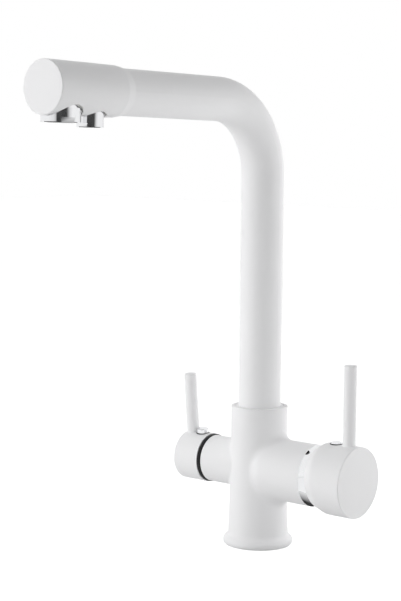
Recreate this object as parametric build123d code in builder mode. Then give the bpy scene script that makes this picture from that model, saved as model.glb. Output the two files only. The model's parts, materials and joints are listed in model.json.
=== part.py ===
from build123d import *
from math import cos, radians, sin, sqrt, tan
import os

os.makedirs("parts", exist_ok=True)

# Three-way kitchen tap. The large lever on +X mixes hot and cold water, the small lever on -X opens
# the filtered water, and one swivel spout towards -Y ends in two separate outlets.
# The origin is the centre of the foot's underside and +Z is up. Lengths are in millimetres.

# Fits and edges that several pieces share
running_clearance = 0.08
seat_clearance = 0.04
passing_clearance = 0.3
socket_gap = 0.3
overrun = 1.0
soft_edge = 0.8
FROM_START = (Align.CENTER, Align.CENTER, Align.MIN)

# Column and foot
column_radius = 21.0
flare_rise = 1.3
neck_swell = 1.4
neck_fillet = 3.0
neck_middle_angle = 30
foot_overhang = 3.65
foot_bead_radius = 4.2
foot_bead_height = 3.0
rim_softness = 0.5

# Side branches on one common axis
side_axis_height = 58.7
mixer_branch_wall = 3.15
mixer_root_swell = 0.1
mixer_root_reach = 18.0
mixer_nose_length = 20.0
mixer_blend = 7.0
filter_branch_radius = 17.6
filter_blend = 3.5
branch_chamfer = 0.7

# Underside: three hose ports round one stud hole, and the groove of the deck seal
port_circle_radius = 11.5
port_radius = 4.55
port_depth = 12.0
mixer_port_angle = 44.0
stud_hole_radius = 3.4
stud_hole_depth = 14.0
waterway_radius = 3.0
deck_groove_margin = 3.05
deck_groove_width = 2.8
deck_groove_depth = 1.6

# Swivel of the spout, stacked in the column from the filtered water's outlet up to the rim
fitting_riser_length = 4.3
fitting_socket_depth = 6.0
chamber_length = 2.0
spigot_length = 14.1
collar_depth = 9.9
collar_margin = 3.0
collar_recess = 0.2
spigot_step = 1.5
spigot_wall = 4.0
tube_seat_rise = 1.9
glide_ring_thickness = 1.2
o_ring_section_radius = 0.92
o_ring_groove_depth = 1.9
o_ring_groove_width = 2.6
lower_o_ring_rise = 2.7
upper_o_ring_drop = 3.3
retaining_rise = 6.7
retaining_groove_depth = 1.3
retaining_groove_width = 3.4
retaining_screw_radius = 2.5
retaining_tip_radius = 1.3

# Spout tube: up from the collar, round one bend and out along a slightly rising arm
tube_socket_wall = 2.35
tube_wall = 1.5
arm_height = 328.3
arm_rise = 1.64
bend_radius = 56.0

# Inner tube that carries the filtered water through the spout
inner_tube_radius = 4.0
inner_tube_wall = 1.0
fitting_wall = 1.42
fitting_height = 11.5
fitting_lip = 1.0
fitting_ring_section_radius = 0.5
fitting_ring_rise = 3.5

# Head at the end of the arm, lengths along the arm
head_start_reach = 156.7
head_overhang = 1.5
head_draft = 0.6
head_start_overhang = 0.35
head_cone_length = 7.0
head_wall = 1.15
head_end_wall = 1.6
tube_insertion = 14.8
divider_spigot_length = 8.5
inner_tube_seat_depth = 6.5
mixed_duct_radius = 3.8
mixed_duct_wall = 1.31

# Outlets under the head: radii, gaps between their holes, and depths below the arm's axis
tube_to_nozzle_gap = 0.5
outlet_gap = 2.3
aerator_radius = 13.0
aerator_thread_step = 1.0
aerator_bottom_depth = 21.8
aerator_hole_margin = 1.3
aerator_flat_angle = 23.0
aerator_flat_length = 3.1
aerator_flat_cut = 1.0
nozzle_radius = 8.95
nozzle_thread_step = 0.95
nozzle_bottom_depth = 24.15
nozzle_hole_margin = 1.55
nozzle_flat_angle = 90.0
nozzle_flat_length = 5.4
nozzle_flange = 1.7
nozzle_flat_cut = 1.2
outlet_shoulder_depth = 12.4
outlet_spotface_gap = 0.4
outlet_thread_length = 7.9
outlet_wall = 1.4
outlet_lip = 1.5
outlet_washer_thickness = 2.0
outlet_softness = 0.4
insert_length = 9.0
cell_depth = 3.0
cell_pitch = 2.9
cell_radius = 1.35
cell_angle = 30

# Mixer cartridge, stacked along +X from its seat in the casting
cartridge_seat_reach = 20.5
cartridge_radius = 17.5
cartridge_base_thickness = 3.6
cartridge_length = 26.5
cartridge_wall = 2.5
cartridge_lip_thickness = 3.6
cartridge_lip_width = 1.8
inlet_spacing = 16.0
inlet_rise = 4.0
outlet_drop = 7.5
outlet_radius = 3.5
port_seal_section_radius = 0.6
fixed_disc_margin = 0.4
disc_thickness = 3.0
sliding_disc_radius = 12.5
carrier_step = 0.3
carrier_thickness = 5.6
disc_gap = 0.04
mixing_recess_length = 19.0
mixing_recess_height = 8.5
mixing_recess_depth = 1.8
mixing_recess_drop = 3.6
rotator_margin = 0.3
rotator_start_gap = 1.38
rotator_neck_margin = 0.4
rotator_neck_length = 2.5
nut_overhang = 2.0
nut_width = 4.0
nut_length = 4.4
nut_notch_width = 4.0
nut_notch_depth = 1.6
nut_notch_count = 6

# Tilting handle of the mixer: a dome, a cap that skims it, a stem, a pin lever and a grub screw
dome_overhang = 1.85
dome_wall = 2.0
dome_opening_angle = 33.0
dome_spigot_length = 1.4
dome_spigot_wall = 1.9
dome_spigot_gap = 0.1
mixer_tilt = 22.0
stem_height = 7.0
stem_width = 8.0
stem_tail = 5.0
stem_neck_radius = 1.8
ball_radius = 2.6
ball_depth = 1.46
pin_radius = 1.5
pin_margin = 1.4
skirt_gap = 3.1
neck_gap = 6.0
neck_slant = 5.2
neck_overhang = 0.15
cap_shoulder_length = 6.7
cap_shoulder_softness = 6.0
cap_length = 31.3
mixer_cap_overhang = 1.4
cap_pocket_wall = 5.9
cap_pocket_land = 6.5
cap_pocket_margin = 2.5
cap_face_thickness = 14.2
stem_hold_length = 2.0
cap_stem_recess_radius = 8.0
mixer_lever_margin = 4.0
mixer_lever_length = 58.1
mixer_plug_gap = 2.0
mixer_grub_radius = 2.5
mixer_grub_length = 8.0

# Levers and plugs, the same pattern on both caps
lever_radius = 4.8
lever_seat_depth = 1.4
lever_stub_radius = 3.0
lever_stub_length = 8.0
lever_tip_softness = 1.1
plug_radius = 4.3
plug_seat_depth = 1.5
plug_height = 2.3
plug_rim = 1.2

# Filter valve, stacked along -X from its seat in the casting
valve_seat_reach = 20.0
valve_washer_thickness = 1.0
valve_thread_radius = 10.5
valve_chamber_setback = 7.0
valve_chamber_length = 6.0
valve_chamber_overcut = 1.5
valve_window_offset = 3.2
valve_window_radius = 1.5
valve_window_count = 4
valve_bore_wall = 4.0
valve_bore_overrun = 2.3
valve_floor = 1.2
valve_hex_gap = 3.5
valve_hex_flats = 24.0
valve_hex_thickness = 4.5
valve_hex_recess = 6.4
valve_pocket_wall = 3.4
valve_neck_radius = 8.0
valve_neck_stand = 2.0
valve_disc_margin = 0.15
valve_disc_thickness = 2.4
valve_disc_port_radius = 2.6
valve_driver_thickness = 1.2
spindle_radius = 4.0
spindle_hold_length = 2.0
circlip_width = 2.0
circlip_thickness = 1.0
circlip_groove_depth = 0.6
filter_outlet_rise = 9.5
filter_duct_radius = 2.6

# Quarter-turn handle of the filter valve
trim_ring_inset = 0.4
trim_ring_width = 2.3
filter_cap_overhang = 0.9
filter_cap_gap = 0.3
filter_cap_wall = 3.2
filter_cap_softness = 1.8
filter_cavity_depth = 12.0
filter_cap_thickness = 11.3
filter_boss_radius = 7.5
filter_boss_inset = 3.5
filter_lever_margin = 1.3
filter_lever_length = 45.4
filter_lever_lean = 5.4
filter_plug_gap = 0.5
filter_grub_radius = 2.0
filter_grub_length = 5.0

# Radii worked out from the sizes above
neck_radius = column_radius + neck_swell
foot_radius = neck_radius + foot_overhang
deck_groove_outer = foot_radius - deck_groove_margin
deck_groove_inner = deck_groove_outer - deck_groove_width
collar_radius = column_radius - collar_margin
collar_socket_radius = collar_radius + socket_gap
spigot_radius = collar_radius - spigot_step
spigot_bore_radius = spigot_radius - spigot_wall
spigot_socket_radius = spigot_radius + running_clearance
o_ring_groove_radius = spigot_radius - o_ring_groove_depth
retaining_groove_radius = spigot_radius - retaining_groove_depth
tube_radius = collar_radius - tube_socket_wall
fitting_radius = inner_tube_radius + fitting_wall
fitting_socket_radius = fitting_radius + running_clearance
head_radius = tube_radius + head_overhang
head_front_radius = head_radius + head_draft
head_start_radius = tube_radius + head_start_overhang
divider_radius = head_radius - head_wall - seat_clearance * 2
divider_spigot_radius = tube_radius - tube_wall - seat_clearance
aerator_thread_radius = aerator_radius - aerator_thread_step
aerator_hole_radius = aerator_radius + aerator_hole_margin
nozzle_thread_radius = nozzle_radius - nozzle_thread_step
nozzle_hole_radius = nozzle_radius + nozzle_hole_margin
cartridge_bore_radius = cartridge_radius + running_clearance
housing_bore_radius = cartridge_radius - cartridge_wall
cartridge_lip_radius = housing_bore_radius - cartridge_lip_width
fixed_disc_radius = housing_bore_radius - fixed_disc_margin
carrier_radius = sliding_disc_radius - carrier_step
rotator_radius = housing_bore_radius - rotator_margin
rotator_neck_radius = cartridge_lip_radius - rotator_neck_margin
nut_radius = cartridge_radius + nut_overhang
nut_seat_radius = nut_radius + seat_clearance
nut_bore_radius = nut_radius - nut_width
mixer_end_radius = nut_radius + mixer_branch_wall
mixer_root_radius = mixer_end_radius + mixer_root_swell
dome_radius = mixer_end_radius + dome_overhang
skim_radius = dome_radius + passing_clearance
cap_neck_radius = mixer_end_radius + neck_overhang
mixer_cap_radius = dome_radius + mixer_cap_overhang
cap_pocket_outer = mixer_cap_radius - cap_pocket_wall
cap_pocket_inner = cap_stem_recess_radius + cap_pocket_margin
valve_bore_radius = valve_thread_radius - valve_bore_wall
valve_chamber_radius = valve_thread_radius + valve_chamber_overcut
valve_pocket_radius = filter_branch_radius - valve_pocket_wall
valve_disc_radius = valve_bore_radius - valve_disc_margin
circlip_radius = spindle_radius + circlip_width
filter_cap_radius = filter_branch_radius + filter_cap_overhang
trim_ring_radius = filter_cap_radius - trim_ring_inset
filter_cap_cavity_radius = filter_cap_radius - filter_cap_wall

# Heights in the column, each one up from the one before
flare_top_height = side_axis_height + flare_rise
filter_outlet_height = side_axis_height + filter_outlet_rise
fitting_bottom_height = filter_outlet_height + fitting_riser_length
fitting_ring_height = fitting_bottom_height + fitting_ring_rise
fitting_top_height = fitting_bottom_height + fitting_height
chamber_floor_height = fitting_bottom_height + fitting_socket_depth
spigot_bottom_height = chamber_floor_height + chamber_length
retaining_height = spigot_bottom_height + retaining_rise
collar_bottom_height = spigot_bottom_height + spigot_length
o_ring_heights = (spigot_bottom_height + lower_o_ring_rise, collar_bottom_height - upper_o_ring_drop)
glide_step_height = collar_bottom_height - running_clearance - glide_ring_thickness - seat_clearance
tube_seat_height = collar_bottom_height + tube_seat_rise
column_height = collar_bottom_height + collar_depth

# Reaches along the arm, from the column's axis
head_cone_reach = head_start_reach + head_cone_length
tube_end_reach = head_start_reach + tube_insertion
divider_start_reach = tube_end_reach - divider_spigot_length
nozzle_reach = tube_end_reach + tube_to_nozzle_gap + nozzle_hole_radius
aerator_reach = nozzle_reach + nozzle_hole_radius + outlet_gap + aerator_hole_radius
head_end_reach = aerator_reach + aerator_hole_radius + outlet_gap
mixed_duct_rise = divider_spigot_radius - mixed_duct_wall - mixed_duct_radius

# Reaches along +X, from the column's axis
cartridge_top_reach = cartridge_seat_reach + cartridge_length
fixed_disc_reach = cartridge_seat_reach + cartridge_base_thickness + disc_gap
sliding_disc_reach = fixed_disc_reach + disc_thickness + disc_gap
carrier_reach = sliding_disc_reach + disc_thickness + disc_gap
carrier_end_reach = carrier_reach + carrier_thickness
rotator_start_reach = carrier_end_reach + rotator_start_gap
rotator_end_reach = cartridge_top_reach + rotator_neck_length
mixer_reach = cartridge_top_reach + nut_length + dome_spigot_gap + dome_spigot_length
pivot_reach = mixer_reach - sqrt(dome_radius**2 - mixer_end_radius**2)
skirt_reach = mixer_reach + skirt_gap
neck_reach = mixer_reach + neck_gap
mixer_face_reach = neck_reach + cap_length
cap_pocket_start = skirt_reach + cap_pocket_land
cap_pocket_end = mixer_face_reach - cap_face_thickness
stem_end_reach = cap_pocket_end + stem_hold_length
mixer_lever_reach = mixer_face_reach - mixer_lever_margin - lever_radius
mixer_plug_reach = mixer_lever_reach - lever_radius - mixer_plug_gap - plug_radius

# Reaches along -X, from the column's axis
valve_chamber_start = valve_seat_reach + valve_chamber_setback
valve_chamber_end = valve_chamber_start + valve_chamber_length
valve_window_reach = valve_chamber_start + valve_window_offset
valve_bore_end = valve_window_reach + valve_bore_overrun
valve_hex_reach = valve_chamber_end + valve_hex_gap
filter_reach = valve_hex_reach + valve_hex_recess
valve_neck_reach = filter_reach + valve_neck_stand
trim_ring_end = filter_reach + trim_ring_width
filter_cap_start = trim_ring_end + filter_cap_gap
filter_boss_start = filter_cap_start + filter_boss_inset
filter_cap_cavity_end = filter_cap_start + filter_cavity_depth
spindle_end_reach = filter_cap_cavity_end + spindle_hold_length
filter_face_reach = filter_cap_cavity_end + filter_cap_thickness
filter_lever_reach = filter_face_reach - filter_lever_margin - lever_radius
filter_plug_reach = filter_lever_reach - lever_radius - filter_plug_gap - plug_radius

# Other places and travels
mixed_port_y = inlet_spacing / 2
port_angle_x = port_circle_radius * cos(radians(mixer_port_angle))
ball_arm = pivot_reach - carrier_end_reach + ball_depth
disc_travel = ball_arm * sin(radians(mixer_tilt))
disc_rest_drop = disc_travel / 2
pin_length = (rotator_neck_radius - pin_margin) * 2
mixer_lever_tip = mixer_cap_radius + mixer_lever_length
filter_lever_tip = filter_cap_radius + filter_lever_length
mixer_side = Vector(1, 0, 0)
mixer_up = Vector(0, 0, 1)
filter_side = Vector(-1, 0, 0)
filter_up = Vector(0, -sin(radians(filter_lever_lean)), cos(radians(filter_lever_lean)))

# Planes whose x axis is the axis that a group of pieces turns about
side_origin = (0, 0, side_axis_height)
arm_origin = (0, 0, arm_height)
arm_forward = (0, -cos(radians(arm_rise)), sin(radians(arm_rise)))
arm_down = (0, -sin(radians(arm_rise)), -cos(radians(arm_rise)))
column_plane = Plane(origin=(0, 0, 0), x_dir=(0, 0, 1), z_dir=(0, 1, 0))
mixer_plane = Plane(origin=side_origin, x_dir=(1, 0, 0), z_dir=(0, -1, 0))
filter_plane = Plane(origin=side_origin, x_dir=(-1, 0, 0), z_dir=(0, 1, 0))
arm_plane = Plane(origin=arm_origin, x_dir=arm_forward, z_dir=(-1, 0, 0))


def point_on(plane, along, up=0, across=0):
    """A point given by its distances along a plane's x, y and z axes."""
    return plane.origin + plane.x_dir * along + plane.y_dir * up + plane.z_dir * across


def outlet_plane(reach):
    """A plane whose x axis points down through the head at a reach along the arm."""
    return Plane(origin=point_on(arm_plane, reach), x_dir=arm_down, z_dir=(1, 0, 0))


def turn(plane, *outline, mode=Mode.ADD):
    """Turn a closed outline of (distance along the plane's x axis, radius) points about that axis."""
    with BuildSketch(plane) as profile:
        with BuildLine():
            Polyline(*outline, close=True)
        make_face()
    revolve(profile.sketch, axis=Axis(plane.origin, plane.x_dir), mode=mode)


def rod(start, direction, length, radius, mode=Mode.ADD):
    """A round bar, or a round hole, from a start point along a direction."""
    with Locations(Plane(origin=start, z_dir=direction)):
        Cylinder(radius, length, align=FROM_START, mode=mode)


def hole(start, direction, length, radius):
    rod(start, direction, length, radius, mode=Mode.SUBTRACT)


def ring(plane, start, end, inner, outer, mode=Mode.ADD):
    turn(plane, (start, inner), (end, inner), (end, outer), (start, outer), mode=mode)


def torus_ring(plane, along, centre_radius, section_radius):
    with BuildSketch(plane) as section:
        with Locations((along, centre_radius)):
            Circle(section_radius)
    revolve(section.sketch, axis=Axis(plane.origin, plane.x_dir))


def finish(builder, name):
    builder.part.label = name
    export_step(builder.part, f"parts/{name}.step")


# The casting: column, foot and two branches in one piece, with its waterways

bead_centre = foot_radius - foot_bead_radius
neck_centre = neck_radius + neck_fillet
centres_apart = foot_bead_radius + neck_fillet
neck_start_height = foot_bead_height + sqrt(centres_apart**2 - (neck_centre - bead_centre) ** 2)
bead_share = foot_bead_radius / centres_apart
bead_end = (
    bead_centre + bead_share * (neck_centre - bead_centre),
    foot_bead_height + bead_share * (neck_start_height - foot_bead_height),
)
foot_bottom_radius = bead_centre + sqrt(foot_bead_radius**2 - foot_bead_height**2)
neck_middle = (
    neck_centre - neck_fillet * cos(radians(neck_middle_angle)),
    neck_start_height - neck_fillet * sin(radians(neck_middle_angle)),
)

with BuildPart() as body_casting:
    with BuildSketch(Plane.XZ):
        with BuildLine():
            Line((0, 0), (foot_bottom_radius, 0))
            ThreePointArc((foot_bottom_radius, 0), (foot_radius, foot_bead_height), bead_end)
            ThreePointArc(bead_end, neck_middle, (neck_radius, neck_start_height))
            Polyline(
                (neck_radius, neck_start_height),
                (column_radius, flare_top_height),
                (column_radius, column_height),
                (0, column_height),
                (0, 0),
            )
        make_face()
    revolve(axis=Axis.Z)
    with BuildSketch(mixer_plane) as mixer_profile:
        with BuildLine():
            EllipticalCenterArc((mixer_root_reach, 0), mixer_nose_length, mixer_root_radius, 90, arc_size=90)
            Polyline(
                (mixer_root_reach, mixer_root_radius),
                (mixer_reach, mixer_end_radius),
                (mixer_reach, 0),
                (mixer_root_reach - mixer_nose_length, 0),
            )
        make_face()
    revolve(mixer_profile.sketch, axis=Axis(side_origin, (1, 0, 0)))
    fillet(body_casting.edges(Select.NEW), mixer_blend)
    rod(side_origin, (-1, 0, 0), filter_reach, filter_branch_radius)
    fillet(body_casting.edges(Select.NEW), filter_blend)
    chamfer(body_casting.faces().sort_by(Axis.X)[0].edges(), branch_chamfer)
    fillet(body_casting.faces().sort_by(Axis.Z)[-1].edges(), rim_softness)
    # Swivel socket of the spout and the chamber below it
    ring(column_plane, glide_step_height, column_height + overrun, 0, collar_socket_radius, Mode.SUBTRACT)
    ring(column_plane, chamber_floor_height, column_height, 0, spigot_socket_radius, Mode.SUBTRACT)
    screw_hole_radius = retaining_screw_radius + seat_clearance
    hole((0, column_radius + overrun, retaining_height), (0, -1, 0), column_radius, screw_hole_radius)
    # Mixer bore, then the wider bore of its nut
    hole(point_on(mixer_plane, cartridge_seat_reach), (1, 0, 0), mixer_reach, cartridge_bore_radius)
    hole(point_on(mixer_plane, cartridge_top_reach - overrun), (1, 0, 0), mixer_reach, nut_seat_radius)
    # Filter valve bore, its outlet chamber and the pocket of its hexagon
    hole(point_on(filter_plane, valve_seat_reach), (-1, 0, 0), filter_reach, valve_thread_radius)
    ring(filter_plane, valve_chamber_start, valve_chamber_end, 0, valve_chamber_radius, Mode.SUBTRACT)
    hole(point_on(filter_plane, valve_hex_reach), (-1, 0, 0), filter_reach, valve_pocket_radius)
    # Underside: stud hole, hose ports and seal groove
    hole((0, 0, 0), (0, 0, 1), stud_hole_depth, stud_hole_radius)
    for x, y in ((port_angle_x, mixed_port_y), (port_angle_x, -mixed_port_y), (-port_circle_radius, 0)):
        hole((x, y, 0), (0, 0, 1), port_depth, port_radius)
    ring(column_plane, 0, deck_groove_depth, deck_groove_inner, deck_groove_outer, Mode.SUBTRACT)
    # Hot and cold: up from the ports, then out to the cartridge
    for y in (mixed_port_y, -mixed_port_y):
        inlet_height = side_axis_height + inlet_rise
        hole((port_angle_x, y, 0), (0, 0, 1), inlet_height, waterway_radius)
        hole((port_angle_x, y, inlet_height), (1, 0, 0), cartridge_seat_reach - port_angle_x, waterway_radius)
    # Mixed water: in from the cartridge, then up to the chamber under the spout
    mixed_height = side_axis_height - outlet_drop
    mixed_riser_x = spigot_bore_radius - outlet_radius
    hole((mixed_riser_x, 0, mixed_height), (0, 0, 1), chamber_floor_height - mixed_height, outlet_radius)
    hole((mixed_riser_x, 0, mixed_height), (1, 0, 0), cartridge_seat_reach - mixed_riser_x, outlet_radius)
    # Filtered water: up and out to the valve, back over it, and up the middle
    hole((-port_circle_radius, 0, 0), (0, 0, 1), side_axis_height, waterway_radius)
    hole((-port_circle_radius, 0, side_axis_height), (-1, 0, 0), port_circle_radius, waterway_radius)
    filter_riser_length = fitting_bottom_height - filter_outlet_height
    hole((0, 0, filter_outlet_height), (-1, 0, 0), valve_window_reach, filter_duct_radius)
    hole((0, 0, filter_outlet_height), (0, 0, 1), filter_riser_length, filter_duct_radius)
    hole((0, 0, fitting_bottom_height), (0, 0, 1), chamber_floor_height, fitting_socket_radius)
finish(body_casting, "body_casting")

with BuildPart() as deck_seal:
    ring(
        column_plane,
        0,
        deck_groove_depth - seat_clearance,
        deck_groove_inner + seat_clearance,
        deck_groove_outer - seat_clearance,
    )
finish(deck_seal, "deck_seal")

# Swivel of the spout

with BuildPart() as spout_glide_ring:
    ring(
        column_plane,
        glide_step_height + seat_clearance,
        glide_step_height + seat_clearance + glide_ring_thickness,
        spigot_socket_radius + running_clearance,
        collar_socket_radius - running_clearance,
    )
finish(spout_glide_ring, "spout_glide_ring")

tip_start = retaining_groove_radius + passing_clearance
screw_start = spigot_socket_radius + passing_clearance
with BuildPart() as spout_retaining_screw:
    screw_length = column_radius - soft_edge - screw_start
    rod((0, screw_start, retaining_height), (0, 1, 0), screw_length, retaining_screw_radius)
    rod((0, tip_start, retaining_height), (0, 1, 0), screw_start - tip_start, retaining_tip_radius)
    with BuildSketch(Plane(origin=(0, column_radius - soft_edge, retaining_height), z_dir=(0, 1, 0))):
        RegularPolygon(retaining_tip_radius, 6)
    extrude(amount=-screw_length / 2, mode=Mode.SUBTRACT)
finish(spout_retaining_screw, "spout_retaining_screw")

with BuildPart() as spout_collar:
    collar_top = column_height - collar_recess
    turn(
        column_plane,
        (collar_top, tube_radius + seat_clearance),
        (collar_top, collar_radius),
        (collar_bottom_height, collar_radius),
        (collar_bottom_height, spigot_radius),
        (spigot_bottom_height, spigot_radius),
        (spigot_bottom_height, spigot_bore_radius),
        (tube_seat_height, spigot_bore_radius),
        (tube_seat_height, tube_radius + seat_clearance),
    )
    for height in o_ring_heights:
        half_width = o_ring_groove_width / 2
        ring(
            column_plane,
            height - half_width,
            height + half_width,
            o_ring_groove_radius,
            spigot_radius + overrun,
            Mode.SUBTRACT,
        )
    ring(
        column_plane,
        retaining_height - retaining_groove_width / 2,
        retaining_height + retaining_groove_width / 2,
        retaining_groove_radius,
        spigot_radius + overrun,
        Mode.SUBTRACT,
    )
finish(spout_collar, "spout_collar")

with BuildPart() as spout_o_rings:
    for height in o_ring_heights:
        torus_ring(column_plane, height, o_ring_groove_radius + o_ring_section_radius, o_ring_section_radius)
finish(spout_o_rings, "spout_o_rings")

# Spout tube and the inner tube, both swept along one centre line

bend_turn = 90 - arm_rise
bend_setback = bend_radius * tan(radians(bend_turn / 2))


def sweep_spout(start_height, end_reach, outer, inner):
    """A round tube from a height in the column, round the bend, to a reach along the arm."""
    with BuildLine() as path:
        riser = Line((0, 0, start_height), (0, 0, arm_height - bend_setback))
        bend = TangentArc(riser @ 1, point_on(arm_plane, bend_setback), tangent=riser % 1)
        Line(bend @ 1, point_on(arm_plane, end_reach))
    with BuildSketch(Plane(origin=(0, 0, start_height), z_dir=(0, 0, 1))) as section:
        Circle(outer)
        Circle(inner, mode=Mode.SUBTRACT)
    sweep(section.sketch, path=path.wire())


with BuildPart() as spout_tube:
    sweep_spout(tube_seat_height + seat_clearance, tube_end_reach, tube_radius, tube_radius - tube_wall)
finish(spout_tube, "spout_tube")

with BuildPart() as inner_filter_tube:
    sweep_spout(
        fitting_bottom_height + fitting_lip + seat_clearance,
        divider_start_reach + inner_tube_seat_depth - seat_clearance,
        inner_tube_radius,
        inner_tube_radius - inner_tube_wall,
    )
finish(inner_filter_tube, "inner_filter_tube")

fitting_groove_radius = fitting_radius - fitting_ring_section_radius * 2 + running_clearance
with BuildPart() as filter_tube_fitting:
    ring(column_plane, fitting_bottom_height + passing_clearance, fitting_top_height, 0, fitting_radius)
    fitting_bore_start = (0, 0, fitting_bottom_height + fitting_lip)
    hole(fitting_bore_start, (0, 0, 1), fitting_top_height, inner_tube_radius + seat_clearance)
    hole((0, 0, 0), (0, 0, 1), fitting_top_height, inner_tube_radius - inner_tube_wall)
    ring(
        column_plane,
        fitting_ring_height - fitting_ring_section_radius - running_clearance,
        fitting_ring_height + fitting_ring_section_radius + running_clearance,
        fitting_groove_radius,
        fitting_radius + overrun,
        Mode.SUBTRACT,
    )
finish(filter_tube_fitting, "filter_tube_fitting")

with BuildPart() as fitting_o_ring:
    torus_ring(
        column_plane,
        fitting_ring_height,
        fitting_groove_radius + fitting_ring_section_radius,
        fitting_ring_section_radius,
    )
finish(fitting_o_ring, "fitting_o_ring")

# Head: an outer shell over a block that keeps mixed and filtered water apart

shell_bore_radius = head_radius - head_wall
tube_socket_radius = tube_radius + seat_clearance
shell_end_inside = head_end_reach - head_end_wall
divider_shoulder_reach = tube_end_reach + seat_clearance * 2
outlets = (
    (aerator_reach, aerator_radius, aerator_thread_radius, aerator_hole_radius),
    (nozzle_reach, nozzle_radius, nozzle_thread_radius, nozzle_hole_radius),
)
washer_top_depth = outlet_shoulder_depth - outlet_thread_length - outlet_washer_thickness

with BuildPart() as head_shell:
    turn(
        arm_plane,
        (head_start_reach, tube_socket_radius),
        (head_start_reach, head_start_radius),
        (head_cone_reach, head_radius),
        (head_end_reach, head_front_radius),
        (head_end_reach, 0),
        (shell_end_inside, 0),
        (shell_end_inside, shell_bore_radius),
        (tube_end_reach, shell_bore_radius),
        (tube_end_reach, tube_socket_radius),
    )
    fillet(head_shell.faces().sort_by(Axis.Y)[0].edges(), soft_edge)
    for reach, _, _, hole_radius in outlets:
        hole(point_on(arm_plane, reach), arm_down, head_front_radius + overrun, hole_radius)
finish(head_shell, "head_shell")

with BuildPart() as water_divider:
    ring(arm_plane, divider_shoulder_reach, shell_end_inside - seat_clearance, 0, divider_radius)
    ring(arm_plane, divider_start_reach, divider_shoulder_reach, 0, divider_spigot_radius)
    # Both outlets: threaded bore with a seat for the washer, and a spot face for the shoulder
    for reach, radius, thread_radius, _ in outlets:
        washer_seat = point_on(outlet_plane(reach), washer_top_depth)
        hole(washer_seat, arm_down, head_radius, thread_radius)
        spotface = point_on(outlet_plane(reach), outlet_shoulder_depth)
        hole(spotface, arm_down, head_radius, radius + outlet_spotface_gap)
    # Filtered water: the inner tube's socket and a duct to the nozzle
    inner_duct_start = point_on(arm_plane, divider_start_reach)
    inner_duct_radius = inner_tube_radius - inner_tube_wall
    hole(inner_duct_start, arm_forward, inner_tube_seat_depth, inner_tube_radius + seat_clearance)
    hole(inner_duct_start, arm_forward, nozzle_reach - divider_start_reach, inner_duct_radius)
    hole(point_on(arm_plane, nozzle_reach), arm_down, outlet_thread_length, inner_duct_radius)
    # Mixed water: a duct over the nozzle and down into the aerator
    mixed_duct_start = point_on(arm_plane, divider_start_reach, mixed_duct_rise)
    hole(mixed_duct_start, arm_forward, aerator_reach - divider_start_reach, mixed_duct_radius)
    hole(point_on(arm_plane, aerator_reach, mixed_duct_rise), arm_down, head_radius, mixed_duct_radius)
finish(water_divider, "water_divider")


def screwed_outlet(reach, radius, thread_radius, bottom_depth):
    """A chrome outlet: a threaded neck in the block and a wider barrel below its shoulder."""
    bore = thread_radius - outlet_wall
    turn(
        outlet_plane(reach),
        (outlet_shoulder_depth - outlet_thread_length, bore),
        (outlet_shoulder_depth - outlet_thread_length, thread_radius - seat_clearance),
        (outlet_shoulder_depth + seat_clearance, thread_radius - seat_clearance),
        (outlet_shoulder_depth + seat_clearance, radius),
        (bottom_depth - outlet_softness, radius),
        (bottom_depth, radius - outlet_softness),
        (bottom_depth, bore - outlet_lip),
        (bottom_depth - outlet_lip, bore - outlet_lip),
        (bottom_depth - outlet_lip, bore),
    )


def cut_flats(reach, angle, cut_radius, top_depth, length):
    """Two opposite wrench flats, their normals turned by an angle from the arm's side to its front."""
    middle = point_on(outlet_plane(reach), top_depth + length / 2)
    flats_plane = Plane(origin=middle, x_dir=(1, 0, 0), z_dir=arm_down).rotated((0, 0, angle))
    side = cut_radius * 2
    with BuildSketch(flats_plane) as flats:
        for shift in (cut_radius + side / 2, -cut_radius - side / 2):
            with Locations((shift, 0)):
                Rectangle(side, side * 2)
    extrude(flats.sketch, amount=length / 2, both=True, mode=Mode.SUBTRACT)


def honeycomb_insert(reach, radius, bottom_depth):
    """A flow straightener with a honeycomb of blind cells in its lower face."""
    plane = outlet_plane(reach)
    rod(point_on(plane, bottom_depth - insert_length), arm_down, insert_length, radius)
    rows = int(radius / cell_pitch)
    row_height = cell_pitch * sqrt(3) / 2
    cells = [
        (cell_pitch * (column + row / 2), row_height * row)
        for row in range(-rows, rows + 1)
        for column in range(-rows * 2, rows * 2 + 1)
    ]
    inside = [(x, y) for x, y in cells if sqrt(x**2 + y**2) < radius - cell_radius]
    with BuildSketch(Plane(origin=point_on(plane, bottom_depth), x_dir=(1, 0, 0), z_dir=arm_down)) as comb:
        with Locations(*inside):
            RegularPolygon(cell_radius, 6, rotation=cell_angle)
    extrude(comb.sketch, amount=-cell_depth, mode=Mode.SUBTRACT)


def outlet_washer(reach, thread_radius):
    top = washer_top_depth + seat_clearance
    bottom = washer_top_depth + outlet_washer_thickness - seat_clearance
    inner = thread_radius - outlet_wall * 2
    ring(outlet_plane(reach), top, bottom, inner, thread_radius - seat_clearance * 2)


with BuildPart() as aerator_housing:
    screwed_outlet(aerator_reach, aerator_radius, aerator_thread_radius, aerator_bottom_depth)
    cut_flats(
        aerator_reach,
        aerator_flat_angle,
        aerator_radius - aerator_flat_cut,
        aerator_bottom_depth - aerator_flat_length,
        aerator_flat_length + overrun,
    )
finish(aerator_housing, "aerator_housing")

with BuildPart() as aerator_insert:
    insert_radius = aerator_thread_radius - outlet_wall - seat_clearance
    honeycomb_insert(aerator_reach, insert_radius, aerator_bottom_depth - outlet_lip - seat_clearance)
finish(aerator_insert, "aerator_insert")

with BuildPart() as aerator_washer:
    outlet_washer(aerator_reach, aerator_thread_radius)
finish(aerator_washer, "aerator_washer")

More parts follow.
